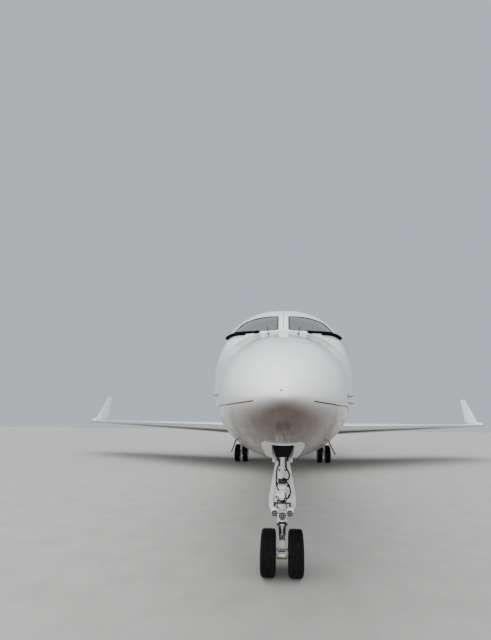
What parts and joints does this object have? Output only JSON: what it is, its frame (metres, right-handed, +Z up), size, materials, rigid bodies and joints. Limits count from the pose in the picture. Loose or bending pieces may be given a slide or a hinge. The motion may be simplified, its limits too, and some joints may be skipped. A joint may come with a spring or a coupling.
{
  "type": "business jet",
  "caption": "Twin-engined business jet on its landing gear, with swept wings and winglets, rear engines, T-tail, steerable nose wheels and an airstair door.",
  "frame": {"origin": "on the floor, below the middle of the length and on the centre line", "axes": "+X is the port side, +Y runs from the nose to the tail, +Z is up"},
  "size_m": [23.67, 26.9, 7.375],
  "materials": {
    "paint": "gloss",
    "composite_paint": "gloss",
    "windshield_glass": "gloss",
    "cabin_glass": "gloss",
    "bare_metal": "satin",
    "gear_paint": "satin",
    "tyre": "matte",
    "trim": "matte",
    "dark_trim": "matte",
    "leather": "satin"
  },
  "bodies": {
    "airframe": {"radome": "composite_paint", "forward_fuselage": "paint", "cabin_fuselage": "paint", "aft_fuselage": "paint", "belly_fairing": "composite_paint", "windshield_port": "windshield_glass", "windshield_starboard": "windshield_glass", "side_windows_port": "windshield_glass", "side_windows_starboard": "windshield_glass", "window_line_port": "cabin_glass", "window_line_starboard": "cabin_glass", "cabin_floor": "trim", "instrument_panel": "dark_trim", "cockpit_partition": "trim", "pilot_seat_port": "leather", "pilot_seat_starboard": "leather", "cabin_seat_port": "leather", "cabin_seat_starboard": "leather", "wing_port": "paint", "wing_starboard": "paint", "flap_port": "paint", "flap_starboard": "paint", "winglet_port": "composite_paint", "winglet_starboard": "composite_paint", "fin": "composite_paint", "tailplane": "composite_paint", "pylon_port": "paint", "pylon_starboard": "paint", "nacelle_port": "composite_paint", "nacelle_starboard": "composite_paint", "engine_port": "bare_metal", "engine_starboard": "bare_metal", "nose_gear_leg": "gear_paint", "nose_gear_rear_door": "paint", "landing_lamps": "bare_metal", "main_gear_leg_port": "gear_paint", "main_gear_leg_starboard": "gear_paint", "main_gear_door_port": "paint", "main_gear_door_starboard": "paint"},
    "airstair": {"entry_door": "paint"},
    "nose_steering": {"nose_gear_fork": "gear_paint"},
    "nose_wheels": {"nose_wheel_rims": "bare_metal", "nose_tyre_port": "tyre", "nose_tyre_starboard": "tyre"},
    "main_wheels_port": {"main_port_wheel_rims": "bare_metal", "main_port_tyre_outer": "tyre", "main_port_tyre_inner": "tyre"},
    "main_wheels_starboard": {"main_starboard_wheel_rims": "bare_metal", "main_starboard_tyre_inner": "tyre", "main_starboard_tyre_outer": "tyre"},
    "fan_rotor_port": {"fan_port": "bare_metal"},
    "fan_rotor_starboard": {"fan_starboard": "bare_metal"},
    "aileron_flap_port": {"aileron_port": "composite_paint"},
    "aileron_flap_starboard": {"aileron_starboard": "composite_paint"},
    "elevator_flap_port": {"elevator_port": "composite_paint"},
    "elevator_flap_starboard": {"elevator_starboard": "composite_paint"},
    "rudder_flap": {"rudder": "composite_paint"}
  },
  "joints": [
    {"name": "door_hinge", "type": "hinge", "parent": "airframe", "child": "airstair", "pos_m": [0.94167, -9.06, 1.66428], "axis": [0, 1, 0], "range_deg": [0, 140]},
    {"name": "nose_steer", "type": "hinge", "parent": "airframe", "child": "nose_steering", "pos_m": [0, -10.85, 0.6], "axis": [0, 0, 1], "range_deg": [-80, 80]},
    {"name": "nose_wheel_spin", "type": "hinge", "parent": "nose_steering", "child": "nose_wheels", "pos_m": [0, -10.85, 0.26472], "axis": [1, 0, 0], "continuous": true},
    {"name": "main_wheel_spin_port", "type": "hinge", "parent": "airframe", "child": "main_wheels_port", "pos_m": [2.085, 0.76, 0.4283], "axis": [1, 0, 0], "continuous": true},
    {"name": "main_wheel_spin_starboard", "type": "hinge", "parent": "airframe", "child": "main_wheels_starboard", "pos_m": [-2.085, 0.76, 0.4283], "axis": [1, 0, 0], "continuous": true},
    {"name": "fan_spin_port", "type": "hinge", "parent": "airframe", "child": "fan_rotor_port", "pos_m": [2.12, 3.65, 2.95], "axis": [0, 1, 0], "continuous": true},
    {"name": "fan_spin_starboard", "type": "hinge", "parent": "airframe", "child": "fan_rotor_starboard", "pos_m": [-2.12, 3.65, 2.95], "axis": [0, 1, 0], "continuous": true},
    {"name": "aileron_hinge_port", "type": "hinge", "parent": "airframe", "child": "aileron_flap_port", "pos_m": [8.2, 3.17365, 1.87941], "axis": [0.9479, 0.3176, 0.0256], "range_deg": [-20, 20]},
    {"name": "aileron_hinge_starboard", "type": "hinge", "parent": "airframe", "child": "aileron_flap_starboard", "pos_m": [-8.2, 3.17365, 1.87941], "axis": [0.9479, -0.3176, -0.0256], "range_deg": [-20, 20]},
    {"name": "elevator_hinge_port", "type": "hinge", "parent": "airframe", "child": "elevator_flap_port", "pos_m": [0.48, 11.95881, 7.17], "axis": [0.9688, 0.2479, 0], "range_deg": [-13, 24]},
    {"name": "elevator_hinge_starboard", "type": "hinge", "parent": "airframe", "child": "elevator_flap_starboard", "pos_m": [-0.48, 11.95881, 7.17], "axis": [0.9688, -0.2479, 0], "range_deg": [-13, 24]},
    {"name": "rudder_hinge", "type": "hinge", "parent": "airframe", "child": "rudder_flap", "pos_m": [0, 10.11415, 3.72], "axis": [0, 0.4696, 0.8829], "range_deg": [-22, 22]}
  ],
  "couplings": [
    {"joint": "aileron_hinge_starboard", "follows": "aileron_hinge_port", "ratio": -1},
    {"joint": "elevator_hinge_starboard", "follows": "elevator_hinge_port", "ratio": 1}
  ]
}
